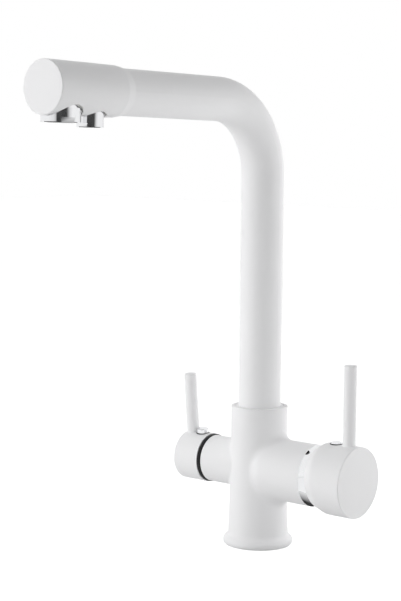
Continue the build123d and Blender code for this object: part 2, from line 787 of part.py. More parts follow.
with BuildPart() as nozzle_housing:
    screwed_outlet(nozzle_reach, nozzle_radius, nozzle_thread_radius, nozzle_bottom_depth)
    cut_flats(
        nozzle_reach,
        nozzle_flat_angle,
        nozzle_radius - nozzle_flat_cut,
        nozzle_bottom_depth - nozzle_flange - nozzle_flat_length,
        nozzle_flat_length,
    )
finish(nozzle_housing, "nozzle_housing")

with BuildPart() as nozzle_insert:
    insert_radius = nozzle_thread_radius - outlet_wall - seat_clearance
    honeycomb_insert(nozzle_reach, insert_radius, nozzle_bottom_depth - outlet_lip - seat_clearance)
finish(nozzle_insert, "nozzle_insert")

with BuildPart() as nozzle_washer:
    outlet_washer(nozzle_reach, nozzle_thread_radius)
finish(nozzle_washer, "nozzle_washer")

# Mixer cartridge

inlet_places = ((inlet_rise, mixed_port_y), (inlet_rise, -mixed_port_y))


def cut_cartridge_ports(start, length):
    """The two inlets and the outlet through a flat piece of the cartridge."""
    for rise, across in inlet_places:
        hole(point_on(mixer_plane, start, rise, across), (1, 0, 0), length, waterway_radius)
    hole(point_on(mixer_plane, start, -outlet_drop), (1, 0, 0), length, outlet_radius)


port_seal_drop = port_seal_section_radius * 2
with BuildPart() as cartridge_base:
    base_start = cartridge_seat_reach + seat_clearance
    base_thickness = cartridge_base_thickness - seat_clearance
    rod(point_on(mixer_plane, base_start), (1, 0, 0), base_thickness, cartridge_radius)
    cut_cartridge_ports(base_start, base_thickness)
    seal_places = [(rise, across, waterway_radius) for rise, across in inlet_places]
    seal_places.append((-outlet_drop, 0, outlet_radius))
    for rise, across, radius in seal_places:
        counterbore = radius + port_seal_drop + seat_clearance
        hole(point_on(mixer_plane, base_start, rise, across), (1, 0, 0), port_seal_drop, counterbore)
finish(cartridge_base, "cartridge_base")

with BuildPart() as cartridge_seals:
    for rise, across, radius in seal_places:
        seal_plane = Plane(origin=point_on(mixer_plane, 0, rise, across), x_dir=(1, 0, 0), z_dir=(0, -1, 0))
        seal_reach = cartridge_seat_reach + seat_clearance + port_seal_section_radius
        torus_ring(seal_plane, seal_reach, radius + port_seal_section_radius, port_seal_section_radius)
finish(cartridge_seals, "cartridge_seals")

with BuildPart() as fixed_ceramic_disc:
    rod(point_on(mixer_plane, fixed_disc_reach), (1, 0, 0), disc_thickness, fixed_disc_radius)
    cut_cartridge_ports(fixed_disc_reach, disc_thickness)
finish(fixed_ceramic_disc, "fixed_ceramic_disc")

with BuildPart() as sliding_ceramic_disc:
    disc_face = point_on(mixer_plane, sliding_disc_reach, -disc_rest_drop)
    rod(disc_face, (1, 0, 0), disc_thickness, sliding_disc_radius)
    with BuildSketch(Plane(origin=disc_face, x_dir=(0, 1, 0), z_dir=(1, 0, 0))):
        with Locations((0, -mixing_recess_drop)):
            SlotOverall(mixing_recess_length, mixing_recess_height)
    extrude(amount=mixing_recess_depth, mode=Mode.SUBTRACT)
finish(sliding_ceramic_disc, "sliding_ceramic_disc")

with BuildPart() as disc_carrier:
    rod(point_on(mixer_plane, carrier_reach, -disc_rest_drop), (1, 0, 0), carrier_thickness, carrier_radius)
    socket_bottom = point_on(mixer_plane, pivot_reach - ball_arm - ball_radius - running_clearance)
    hole(socket_bottom, (1, 0, 0), carrier_thickness, ball_radius + running_clearance * 2)
finish(disc_carrier, "disc_carrier")

housing_lip_reach = cartridge_top_reach - cartridge_lip_thickness
with BuildPart() as cartridge_housing:
    turn(
        mixer_plane,
        (cartridge_seat_reach + cartridge_base_thickness + seat_clearance, housing_bore_radius),
        (cartridge_seat_reach + cartridge_base_thickness + seat_clearance, cartridge_radius),
        (cartridge_top_reach, cartridge_radius),
        (cartridge_top_reach, cartridge_lip_radius),
        (housing_lip_reach, cartridge_lip_radius),
        (housing_lip_reach, housing_bore_radius),
    )
finish(cartridge_housing, "cartridge_housing")

# The rotator turns in the housing and carries the stem's pin. Its slot leaves room for the tilted stem.
slope = tan(radians(mixer_tilt))
tilted_half_height = stem_height / 2 / cos(radians(mixer_tilt)) + passing_clearance
slot_bottom = (rotator_end_reach - pivot_reach) * slope + tilted_half_height
slot_top = (pivot_reach - rotator_start_reach) * slope + tilted_half_height
pivot_pin_start = point_on(mixer_plane, pivot_reach, 0, -pin_length / 2)

with BuildPart() as cartridge_rotator:
    shoulder_reach = housing_lip_reach - running_clearance
    turn(
        mixer_plane,
        (rotator_start_reach, 0),
        (rotator_start_reach, rotator_radius),
        (shoulder_reach, rotator_radius),
        (shoulder_reach, rotator_neck_radius),
        (rotator_end_reach, rotator_neck_radius),
        (rotator_end_reach, 0),
    )
    slot_start = point_on(mixer_plane, rotator_start_reach)
    with BuildSketch(Plane(origin=slot_start, x_dir=(0, 1, 0), z_dir=(1, 0, 0))):
        with Locations((0, (slot_top - slot_bottom) / 2)):
            Rectangle(stem_width + running_clearance * 2, slot_top + slot_bottom)
    extrude(amount=rotator_end_reach - rotator_start_reach, mode=Mode.SUBTRACT)
    hole(pivot_pin_start, mixer_plane.z_dir, pin_length, pin_radius + seat_clearance)
finish(cartridge_rotator, "cartridge_rotator")

with BuildPart() as stem_pin:
    rod(pivot_pin_start, mixer_plane.z_dir, pin_length, pin_radius)
finish(stem_pin, "stem_pin")

with BuildPart() as mixer_stem:
    tail_start = point_on(mixer_plane, pivot_reach - stem_tail)
    with BuildSketch(Plane(origin=tail_start, x_dir=(0, 1, 0), z_dir=(1, 0, 0))):
        Rectangle(stem_width, stem_height)
    extrude(amount=stem_end_reach - pivot_reach + stem_tail)
    rod(tail_start, (-1, 0, 0), ball_arm - stem_tail, stem_neck_radius)
    with Locations(point_on(mixer_plane, pivot_reach - ball_arm)):
        Sphere(ball_radius)
    hole(pivot_pin_start, mixer_plane.z_dir, pin_length, pin_radius + running_clearance)
finish(mixer_stem, "mixer_stem")

with BuildPart() as cartridge_nut:
    nut_start = cartridge_top_reach + seat_clearance
    ring(mixer_plane, nut_start, nut_start + nut_length, nut_bore_radius, nut_radius)
    with BuildSketch(Plane(origin=point_on(mixer_plane, nut_start + nut_length), z_dir=(1, 0, 0))):
        with PolarLocations(nut_bore_radius, nut_notch_count):
            Rectangle(nut_notch_width, nut_notch_width)
    extrude(amount=-nut_notch_depth, mode=Mode.SUBTRACT)
finish(cartridge_nut, "cartridge_nut")


def on_sphere(radius, angle):
    """A point of a sphere about the tilt pivot, by its angle from the mixer's axis."""
    return (pivot_reach + radius * cos(radians(angle)), radius * sin(radians(angle)))


def reach_on_sphere(radius, height):
    """The reach at which a sphere about the tilt pivot has a given radius about the mixer's axis."""
    return pivot_reach + sqrt(radius**2 - height**2)


neck_direction = (cos(radians(neck_slant)), 0, sin(radians(neck_slant)))
neck_plane = Plane(origin=point_on(mixer_plane, neck_reach), x_dir=neck_direction, z_dir=(0, -1, 0))
dome_inner = dome_radius - dome_wall
dome_spigot_bore = nut_radius - dome_spigot_wall
with BuildPart() as dome_ring:
    with BuildSketch(mixer_plane) as dome_profile:
        with BuildLine():
            opening_outer = on_sphere(dome_radius, dome_opening_angle)
            opening_inner = on_sphere(dome_inner, dome_opening_angle)
            base_reach = mixer_reach + seat_clearance
            dome_base = (base_reach, sqrt(dome_radius**2 - (base_reach - pivot_reach) ** 2))
            bore_end = (reach_on_sphere(dome_inner, dome_spigot_bore), dome_spigot_bore)
            RadiusArc(dome_base, opening_outer, dome_radius)
            Line(opening_outer, opening_inner)
            RadiusArc(opening_inner, bore_end, -dome_inner)
            Polyline(
                bore_end,
                (mixer_reach - dome_spigot_length, dome_spigot_bore),
                (mixer_reach - dome_spigot_length, nut_radius),
                (base_reach, nut_radius),
                dome_base,
            )
        make_face()
    revolve(dome_profile.sketch, axis=Axis(side_origin, (1, 0, 0)))
finish(dome_ring, "dome_ring")


def above_axis(reach, side, up, radius):
    """A point at a reach along a side's axis and a radius from it."""
    return Vector(*side_origin) + side * reach + up * radius


def lever_on(reach, side, up, surface_radius, tip):
    """A pin lever on a cap: a threaded stub, a shank seated in the cap and a softened tip."""
    seat = above_axis(reach, side, up, surface_radius - lever_seat_depth)
    rod(seat - up * lever_stub_length, up, lever_stub_length, lever_stub_radius)
    rod(seat, up, tip - surface_radius + lever_seat_depth, lever_radius)


def cut_lever_seat(reach, side, up, surface_radius):
    seat = above_axis(reach, side, up, surface_radius - lever_seat_depth - seat_clearance)
    hole(seat, up, surface_radius, lever_radius + seat_clearance)
    hole(seat - up * lever_stub_length, up, lever_stub_length, lever_stub_radius + seat_clearance)


def plug_on(reach, side, up, surface_radius):
    """A chrome button: a straight rim in the cap and a low crown above it."""
    base = above_axis(reach, side, up, surface_radius - plug_seat_depth)
    crown_height = plug_seat_depth + plug_height
    straight = plug_seat_depth + plug_rim
    with BuildSketch(Plane(origin=base, x_dir=side, z_dir=side.cross(up))) as profile:
        with BuildLine():
            Polyline((0, crown_height), (0, 0), (plug_radius, 0), (plug_radius, straight))
            TangentArc((0, crown_height), (plug_radius, straight), tangent=(1, 0))
        make_face()
    revolve(profile.sketch, axis=Axis(base, up))


def cut_plug_seat(reach, side, up, surface_radius, screw_radius, depth):
    """The button's counterbore and the grub screw's hole below it."""
    base = above_axis(reach, side, up, surface_radius - plug_seat_depth - seat_clearance)
    hole(base, up, surface_radius, plug_radius + seat_clearance)
    hole(base - up * depth, up, depth, screw_radius + seat_clearance)


def grub_screw(reach, side, up, start, length, radius):
    base = above_axis(reach, side, up, start)
    rod(base, up, length, radius)
    with BuildSketch(Plane(origin=base + up * length, z_dir=up)) as socket:
        RegularPolygon(radius / 2, 6)
    extrude(socket.sketch, amount=-length / 2, mode=Mode.SUBTRACT)


with BuildPart() as mixer_cap:
    with BuildSketch(mixer_plane) as cap_profile:
        with BuildLine():
            skirt_inside = (skirt_reach, sqrt(skim_radius**2 - (skirt_reach - pivot_reach) ** 2))
            pocket_mouth_radius = sqrt(skim_radius**2 - (cap_pocket_start - pivot_reach) ** 2)
            pocket_mouth_reach = reach_on_sphere(skim_radius, cap_pocket_inner)
            crown_inside = (reach_on_sphere(skim_radius, cap_stem_recess_radius), cap_stem_recess_radius)
            RadiusArc(skirt_inside, (cap_pocket_start, pocket_mouth_radius), skim_radius)
            Polyline(
                (cap_pocket_start, pocket_mouth_radius),
                (cap_pocket_start, cap_pocket_outer),
                (cap_pocket_end, cap_pocket_outer),
                (cap_pocket_end, cap_pocket_inner),
                (pocket_mouth_reach, cap_pocket_inner),
            )
            RadiusArc((pocket_mouth_reach, cap_pocket_inner), crown_inside, skim_radius)
            Polyline(
                crown_inside,
                (pivot_reach + skim_radius, cap_stem_recess_radius),
                (pivot_reach + skim_radius, 0),
                (mixer_face_reach, 0),
                (mixer_face_reach, mixer_cap_radius),
                (skirt_reach, mixer_cap_radius),
                skirt_inside,
            )
        make_face()
    revolve(cap_profile.sketch, axis=Axis(side_origin, (1, 0, 0)))
    # The neck and the shoulder are cut at a slant, so the tilted cap clears the branch below
    turn(
        neck_plane,
        (-cap_shoulder_length, 0),
        (0, 0),
        (0, cap_neck_radius),
        (cap_shoulder_length * 2, mixer_cap_radius * 2 - cap_neck_radius),
        (cap_shoulder_length * 2, mixer_cap_radius * 2),
        (-cap_shoulder_length, mixer_cap_radius * 2),
        mode=Mode.SUBTRACT,
    )
    shoulder_edge = mixer_cap.edges().filter_by(GeomType.BSPLINE).sort_by(Edge.length)[-1]
    fillet(shoulder_edge, cap_shoulder_softness)
    fillet(mixer_cap.faces().sort_by(Axis.X)[-1].edges(), soft_edge)
    slot_start = point_on(mixer_plane, pivot_reach)
    with BuildSketch(Plane(origin=slot_start, x_dir=(0, 1, 0), z_dir=(1, 0, 0))) as stem_slot:
        Rectangle(stem_width + seat_clearance * 2, stem_height + seat_clearance * 2)
    extrude(stem_slot.sketch, amount=stem_end_reach + seat_clearance - pivot_reach, mode=Mode.SUBTRACT)
    cut_lever_seat(mixer_lever_reach, mixer_side, mixer_up, mixer_cap_radius)
    grub_depth = mixer_cap_radius - plug_seat_depth - stem_height / 2
    cut_plug_seat(mixer_plug_reach, mixer_side, mixer_up, mixer_cap_radius, mixer_grub_radius, grub_depth)
finish(mixer_cap, "mixer_cap")

with BuildPart() as mixer_lever:
    lever_on(mixer_lever_reach, mixer_side, mixer_up, mixer_cap_radius, mixer_lever_tip)
    fillet(mixer_lever.faces().sort_by(Axis.Z)[-1].edges(), lever_tip_softness)
finish(mixer_lever, "mixer_lever")

with BuildPart() as mixer_grub_screw:
    grub_start = stem_height / 2 + seat_clearance
    grub_screw(mixer_plug_reach, mixer_side, mixer_up, grub_start, mixer_grub_length, mixer_grub_radius)
finish(mixer_grub_screw, "mixer_grub_screw")

with BuildPart() as mixer_plug:
    plug_on(mixer_plug_reach, mixer_side, mixer_up, mixer_cap_radius)
finish(mixer_plug, "mixer_plug")

# Filter valve: a quarter-turn ceramic valve screwed into the -X branch

valve_body_start = valve_seat_reach + valve_washer_thickness + seat_clearance
fixed_port_disc_reach = valve_body_start + valve_floor + disc_gap
turning_disc_reach = fixed_port_disc_reach + valve_disc_thickness + disc_gap
driver_reach = turning_disc_reach + valve_disc_thickness + disc_gap

with BuildPart() as filter_valve_washer:
    washer_start = valve_seat_reach + seat_clearance
    washer_end = valve_seat_reach + valve_washer_thickness
    washer_outer = valve_thread_radius - running_clearance
    ring(filter_plane, washer_start, washer_end, valve_disc_port_radius * 2, washer_outer)
finish(filter_valve_washer, "filter_valve_washer")

with BuildPart() as filter_valve_body:
    turn(
        filter_plane,
        (valve_body_start, 0),
        (valve_body_start, valve_thread_radius - seat_clearance),
        (valve_hex_reach, valve_thread_radius - seat_clearance),
        (valve_hex_reach, valve_neck_radius),
        (valve_neck_reach, valve_neck_radius),
        (valve_neck_reach, 0),
    )
    hexagon_start = point_on(filter_plane, valve_hex_reach + seat_clearance)
    with BuildSketch(Plane(origin=hexagon_start, z_dir=(-1, 0, 0))):
        RegularPolygon(valve_hex_flats / 2, 6, major_radius=False)
    extrude(amount=valve_hex_thickness)
    bore_start = point_on(filter_plane, valve_body_start + valve_floor)
    hole(bore_start, (-1, 0, 0), valve_bore_end - valve_body_start - valve_floor, valve_bore_radius)
    hole(bore_start, (-1, 0, 0), filter_face_reach, spindle_radius + running_clearance)
    for across in (valve_disc_port_radius + disc_gap, -valve_disc_port_radius - disc_gap):
        inlet_start = point_on(filter_plane, valve_seat_reach, 0, across)
        hole(inlet_start, (-1, 0, 0), valve_disc_port_radius * 2, valve_disc_port_radius * 3 / 4)
    window_start = point_on(filter_plane, valve_window_reach)
    for window in range(valve_window_count):
        angle = radians(360 * window / valve_window_count)
        hole(window_start, (0, sin(angle), cos(angle)), valve_thread_radius, valve_window_radius)
finish(filter_valve_body, "filter_valve_body")


def two_port_disc(reach):
    """A ceramic disc with two opposite ports."""
    rod(point_on(filter_plane, reach), (-1, 0, 0), valve_disc_thickness, valve_disc_radius)
    for across in (valve_disc_port_radius + disc_gap, -valve_disc_port_radius - disc_gap):
        port = point_on(filter_plane, reach, 0, across)
        hole(port, (-1, 0, 0), valve_disc_thickness, valve_disc_port_radius * 3 / 4)


with BuildPart() as filter_fixed_disc:
    two_port_disc(fixed_port_disc_reach)
finish(filter_fixed_disc, "filter_fixed_disc")

with BuildPart() as filter_turning_disc:
    rod(point_on(filter_plane, turning_disc_reach), (-1, 0, 0), valve_disc_thickness, valve_disc_radius)
    for up in (valve_disc_port_radius + disc_gap, -valve_disc_port_radius - disc_gap):
        port = point_on(filter_plane, turning_disc_reach, up)
        hole(port, (-1, 0, 0), valve_disc_thickness, valve_disc_port_radius * 3 / 4)
finish(filter_turning_disc, "filter_turning_disc")

circlip_reach = valve_neck_reach + passing_clearance
with BuildPart() as filter_spindle:
    rod(point_on(filter_plane, driver_reach), (-1, 0, 0), valve_driver_thickness, valve_disc_radius)
    rod(point_on(filter_plane, driver_reach), (-1, 0, 0), spindle_end_reach - driver_reach, spindle_radius)
    ring(
        filter_plane,
        circlip_reach - seat_clearance,
        circlip_reach + circlip_thickness + seat_clearance,
        spindle_radius - circlip_groove_depth,
        spindle_radius + overrun,
        Mode.SUBTRACT,
    )
finish(filter_spindle, "filter_spindle")

with BuildPart() as spindle_circlip:
    circlip_end = circlip_reach + circlip_thickness
    circlip_inner = spindle_radius - circlip_groove_depth + seat_clearance
    ring(filter_plane, circlip_reach, circlip_end, circlip_inner, circlip_radius)
finish(spindle_circlip, "spindle_circlip")

with BuildPart() as filter_trim_ring:
    ring(filter_plane, filter_reach + seat_clearance, trim_ring_end, valve_pocket_radius, trim_ring_radius)
finish(filter_trim_ring, "filter_trim_ring")

with BuildPart() as filter_cap:
    turn(
        filter_plane,
        (filter_cap_start, filter_cap_cavity_radius),
        (filter_cap_start, filter_cap_radius),
        (filter_face_reach, filter_cap_radius),
        (filter_face_reach, 0),
        (filter_boss_start, 0),
        (filter_boss_start, filter_boss_radius),
        (filter_cap_cavity_end, filter_boss_radius),
        (filter_cap_cavity_end, filter_cap_cavity_radius),
    )
    fillet(filter_cap.faces().sort_by(Axis.X)[0].edges(), filter_cap_softness)
    hole(side_origin, (-1, 0, 0), spindle_end_reach + seat_clearance, spindle_radius + seat_clearance)
    cut_lever_seat(filter_lever_reach, filter_side, filter_up, filter_cap_radius)
    grub_depth = filter_cap_radius - plug_seat_depth - spindle_radius
    plug_seat = (filter_plug_reach, filter_side, filter_up, filter_cap_radius)
    cut_plug_seat(*plug_seat, filter_grub_radius, grub_depth)
finish(filter_cap, "filter_cap")

with BuildPart() as filter_lever:
    lever_on(filter_lever_reach, filter_side, filter_up, filter_cap_radius, filter_lever_tip)
    fillet(filter_lever.faces().sort_by(Axis.Z)[-1].edges(), lever_tip_softness)
finish(filter_lever, "filter_lever")

with BuildPart() as filter_grub_screw:
    grub_start = spindle_radius + seat_clearance
    grub_screw(filter_plug_reach, filter_side, filter_up, grub_start, filter_grub_length, filter_grub_radius)
finish(filter_grub_screw, "filter_grub_screw")

with BuildPart() as filter_plug:
    plug_on(filter_plug_reach, filter_side, filter_up, filter_cap_radius)
finish(filter_plug, "filter_plug")
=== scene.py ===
# %% [markdown]
# # A white three-way kitchen tap
#
# The tap comes in as a finished set of solids, in metres, with +Z up, the spout towards -Y, the
# mixer handle on +X and the filter handle on -X. This notebook dresses it: the finishes first, then
# the fine pieces that the eye expects up close, and last the studio with its lamps and its camera.

import json
import math

import bpy
from mathutils import Matrix, Vector


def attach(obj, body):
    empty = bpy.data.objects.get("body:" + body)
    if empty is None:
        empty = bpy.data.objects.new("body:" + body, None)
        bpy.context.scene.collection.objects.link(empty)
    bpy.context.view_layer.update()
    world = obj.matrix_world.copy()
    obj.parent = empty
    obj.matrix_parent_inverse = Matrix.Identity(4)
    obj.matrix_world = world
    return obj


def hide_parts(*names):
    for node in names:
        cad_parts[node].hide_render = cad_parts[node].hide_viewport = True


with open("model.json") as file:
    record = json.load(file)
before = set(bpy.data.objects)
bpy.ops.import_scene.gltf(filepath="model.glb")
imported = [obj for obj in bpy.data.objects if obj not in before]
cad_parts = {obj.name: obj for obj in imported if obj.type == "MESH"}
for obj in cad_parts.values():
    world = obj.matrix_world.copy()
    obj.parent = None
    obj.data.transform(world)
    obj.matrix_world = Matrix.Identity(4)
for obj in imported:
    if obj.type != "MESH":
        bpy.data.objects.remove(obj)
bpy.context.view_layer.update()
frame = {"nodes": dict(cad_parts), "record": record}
nodes = frame["nodes"]
print("solids:", len(nodes))

# %% [markdown]
# ## Writing finishes as short sums
#
# A finish is a graph of shader nodes. It could be wired link by link, but that is long and hard to
# read, so three small classes do the wiring. `Signal` wraps one output and turns `+`, `-` and `*`
# into Math nodes, `Graph` adds any other node to a tree, and `Finish` is a graph that owns a
# material. What varies over a surface is then one line of arithmetic. The sky is a graph too, so it
# is written the same way.


# %% Signals
class Signal:
    """One shader value. Arithmetic on it adds Math nodes."""

    def __init__(self, graph, socket):
        self.graph = graph
        self.socket = socket

    def math(self, operation, left, right=0.0, clamp=False):
        settings = {"operation": operation, "use_clamp": clamp}
        node = self.graph.add("ShaderNodeMath", settings, {0: left, 1: right})
        return Signal(self.graph, node.outputs[0])

    def __add__(self, other):
        return self.math("ADD", self, other)

    def __radd__(self, other):
        return self.math("ADD", other, self)

    def __sub__(self, other):
        return self.math("SUBTRACT", self, other)

    def __rsub__(self, other):
        return self.math("SUBTRACT", other, self)

    def __mul__(self, other):
        return self.math("MULTIPLY", self, other)

    def __rmul__(self, other):
        return self.math("MULTIPLY", other, self)

    def at_least(self, other):
        """The larger of the two."""
        return self.math("MAXIMUM", self, other)

    def below(self, limit, softness):
        """1 well under the limit and 0 over it, with a soft step between."""
        return self.math("MULTIPLY", limit - self, 1 / softness, clamp=True)

    def above(self, limit, softness):
        """1 well over the limit and 0 under it, with a soft step between."""
        return self.math("MULTIPLY", self - limit, 1 / softness, clamp=True)


print("a signal takes + - * with numbers on either side")


# %% Trees of nodes
class Graph:
    """A tree of shader nodes."""

    def __init__(self, tree):
        self.tree = tree

    def add(self, kind, settings=None, values=None):
        """Adds a node, makes its settings and then fills its sockets with numbers or links."""
        node = self.tree.nodes.new(kind)
        for name, setting in (settings or {}).items():
            if name == "stops":
                self.set_stops(node.color_ramp.elements, setting)
            else:
                setattr(node, name, setting)
        for name, value in (values or {}).items():
            self.feed(node.inputs[name], value)
        return node

    def set_stops(self, stops, shades):
        """Gives a ramp one stop for each pair of a position and a grey."""
        while len(stops) < len(shades):
            stops.new(0.5)
        for stop, (position, grey) in zip(stops, shades):
            stop.position = position
            stop.color = (grey, grey, grey, 1)

    def feed(self, socket, value):
        value = value.socket if isinstance(value, Signal) else value
        if isinstance(value, bpy.types.NodeSocket):
            self.tree.links.new(value, socket)
        else:
            socket.default_value = value

    def out(self, kind, name, settings=None, values=None):
        """A node's named output, as a signal."""
        return Signal(self, self.add(kind, settings, values).outputs[name])

    def rays(self, *kinds):
        """For each kind of ray, a signal that is 1 on it and 0 on all others."""
        outputs = self.add("ShaderNodeLightPath").outputs
        return [Signal(self, outputs[f"Is {kind} Ray"]) for kind in kinds]


print("a graph adds nodes, sets them and feeds their sockets")


# %% Finishes
class Finish(Graph):
    """A material with one Principled shader, patterned in the piece's own coordinates."""

    def __init__(self, name):
        self.material = bpy.data.materials.new(name)
        self.material.use_nodes = True
        super().__init__(self.material.node_tree)
        self.shader = self.tree.nodes["Principled BSDF"]
        self.place = self.add("ShaderNodeTexCoord").outputs["Object"]

    def set(self, values):
        """Sets sockets of the Principled shader by their names."""
        for name, value in values.items():
            self.feed(self.shader.inputs[name], value)

    def noise(self, size, detail=2.0):
        """Smooth noise whose blotches are about size metres across, from 0 to 1."""
        values = {"Vector": self.place, "Scale": 1 / size, "Detail": detail}
        return self.out("ShaderNodeTexNoise", "Fac", None, values)

    def axes(self):
        """The x, y and z of the place, in metres."""
        split = self.add("ShaderNodeSeparateXYZ", None, {0: self.place}).outputs
        return [Signal(self, split[name]) for name in "XYZ"]

    def blend(self, factor, first, second):
        """A colour between two, by a factor. Each is three numbers or another node's colour."""
        settings = {"data_type": "RGBA", "clamp_factor": True}
        shades = [(*shade, 1) if isinstance(shade, tuple) else shade for shade in (first, second)]
        values = {0: factor, 6: shades[0], 7: shades[1]}
        return self.add("ShaderNodeMix", settings, values).outputs[2]

    def bump(self, height, depth):
        """Raises the surface by a height signal, depth metres at most."""
        values = {"Height": height, "Distance": depth, "Strength": 1.0}
        self.set({"Normal": self.add("ShaderNodeBump", None, values).outputs["Normal"]})


print("a finish has noise, axes, blends of colours and bump")

# %% [markdown]
# ## Powder coat
#
# The body, the tube, the caps and the levers are one matt white. A single white with one roughness
# would do for a sketch, but it looks like plastic film. Real powder coat melts into a skin with a
# fine orange peel, about a millimetre from hump to hump and a few microns high, so the highlight
# breaks up softly at the edges. So two fine noises make the relief, and a slow one shifts the
# colour by a hair.
#
# The casting is brass under its coat. Its underside and its bores are machined after painting, so
# there the metal is bare, with the fine rings that the cutter leaves. These places could be painted
# face by face, but they lie inside a cylinder that the painted outside never enters, so their place
# alone tells paint from metal.

# %% White powder coat
WHITE = ((0.872, 0.872, 0.880), (0.890, 0.890, 0.897))
CLOUD_SIZE = 0.030
PEEL_SIZE = 0.0011
PEEL_DETAIL = 3.0
GRAIN_SIZE = 0.00035
PEEL_SHARE = 0.7
GRAIN_SHARE = 0.3
COAT_RELIEF = 0.000025
COAT_ROUGHNESS = 0.50
PEEL_ROUGHNESS = 0.10
COAT_GLOSS = 0.42


class PowderCoat(Finish):
    """The matt white of the painted pieces, not yet fed to the shader."""

    def __init__(self, name):
        super().__init__(name)
        self.cloud = self.noise(CLOUD_SIZE)
        peel = self.noise(PEEL_SIZE, PEEL_DETAIL)
        self.colour = self.blend(self.cloud, *WHITE)
        self.roughness = COAT_ROUGHNESS + PEEL_ROUGHNESS * peel
        self.relief = peel * PEEL_SHARE + self.noise(GRAIN_SIZE) * GRAIN_SHARE

    def finished(self):
        self.set(
            {
                "Base Color": self.colour,
                "Roughness": self.roughness,
                "Specular IOR Level": COAT_GLOSS,
            }
        )
        self.bump(self.relief, COAT_RELIEF)
        return self.material


finishes = {"white_paint": PowderCoat("white_powder_coat").finished()}
print("white coat:", len(finishes["white_paint"].node_tree.nodes), "nodes")

# %% Bare brass where the casting is machined
BRASS = ((0.66, 0.48, 0.22), (0.76, 0.58, 0.30))
BORE_RADIUS = 0.0196
BORE_TOP = 0.1035
BORE_EDGE = 0.0002
UNDERSIDE_TOP = 0.00003
UNDERSIDE_EDGE = 0.00003
UNDERSIDE_RADIUS = 0.0245
UNDERSIDE_RIM = 0.0003
RADIANS_PER_METRE = 9000
CUT_TINT = 0.25
CUT_RELIEF = 0.15
PEEL_CUT_AWAY = 0.6
SMOOTHER_BY = 0.24


def from_axis(x, y):
    """The distance from the upright axis, in metres."""
    square = x * x + y * y
    return square.math("SQRT", square)


def coat_on_brass():
    coat = PowderCoat("white_coat_on_brass")
    x, y, z = coat.axes()
    radius = from_axis(x, y)
    bore = radius.below(BORE_RADIUS, BORE_EDGE) * z.below(BORE_TOP, BORE_EDGE)
    flat = z.below(UNDERSIDE_TOP, UNDERSIDE_EDGE)
    metal = bore.at_least(flat * radius.below(UNDERSIDE_RADIUS, UNDERSIDE_RIM))
    rings = radius.math("SINE", radius * RADIANS_PER_METRE)
    brass = coat.blend(rings * CUT_TINT + coat.cloud, *BRASS)
    coat.colour = coat.blend(metal, coat.colour, brass)
    coat.roughness = coat.roughness - metal * SMOOTHER_BY
    coat.relief = coat.relief + metal * (rings * CUT_RELIEF - coat.relief * PEEL_CUT_AWAY)
    coat.set({"Metallic": metal})
    return coat.finished()


casting_finish = coat_on_brass()
print("cutter rings every", round(2 * math.pi / RADIANS_PER_METRE * 1000, 2), "mm")

# %% [markdown]
# ## Chrome
#
# The dome behind the mixer cap, the two outlets and the two buttons are chromed brass. Chrome shows
# its surroundings more than itself, so its colour is a plain light grey with the faintest blue.
# Fingerprints and fine polishing marks could be bumps, but bumps would break up the clean bands of
# the reflections, so they live in the roughness only.

# %% Polished chrome
CHROME = ((0.825, 0.83, 0.845), (0.855, 0.86, 0.87))
SMUDGE_SIZE = 0.006
SMUDGE_DETAIL = 4.0
POLISH_SIZE = 0.0004
CHROME_ROUGHNESS = 0.04
SMUDGE_ROUGHNESS = 0.05


def polished_chrome():
    chrome = Finish("polished_chrome")
    smudge = chrome.noise(SMUDGE_SIZE, SMUDGE_DETAIL)
    marks = SMUDGE_ROUGHNESS * smudge * chrome.noise(POLISH_SIZE)
    colour = chrome.blend(smudge, *CHROME)
    chrome.set({"Base Color": colour, "Metallic": 1.0, "Roughness": CHROME_ROUGHNESS + marks})
    return chrome.material


finishes["chrome_trim"] = polished_chrome()
print("chrome:", len(finishes["chrome_trim"].node_tree.nodes), "nodes")

# %% [markdown]
# ## The pieces inside and the black ring
#
# The ring behind the filter cap is satin black plastic. The rest shows only when the tap is taken
# apart: rubber seals, turned brass with fine tool marks, plain steel, lapped ceramic and moulded
# plastic. Each could be a material of its own, but all are a base colour, a roughness and one small
# relief, so one function makes them from a short table.

# %% Plain finishes from a table
PLAIN_CLOUD_SIZE = 0.008
PLAIN_CLOUD_DETAIL = 3.0
RELIEF_ROUGHNESS = 0.08

# Two shades, then roughness, gloss, metallic, and the size and depth of the relief in metres.
PLAIN = {
    "black_trim": ((0.006, 0.006, 0.007), (0.011, 0.011, 0.012), 0.42, 0.25, 0.0, 0.0006, 0.00001),
    "black_rubber": ((0.018, 0.018, 0.018), (0.028, 0.028, 0.027), 0.72, 0.25, 0.0, 0.0004, 0.00002),
    "bare_brass": (*BRASS, 0.28, 0.5, 1.0, 0.0003, 0.000006),
    "bare_steel": ((0.50, 0.50, 0.51), (0.58, 0.58, 0.59), 0.32, 0.5, 1.0, 0.0003, 0.000006),
    "ceramic": ((0.84, 0.82, 0.76), (0.88, 0.86, 0.81), 0.22, 0.5, 0.0, 0.0005, 0.000004),
    "white_plastic": ((0.80, 0.80, 0.78), (0.84, 0.84, 0.82), 0.46, 0.5, 0.0, 0.0008, 0.00001),
    "grey_plastic": ((0.20, 0.20, 0.21), (0.25, 0.25, 0.26), 0.48, 0.5, 0.0, 0.0008, 0.00001),
}


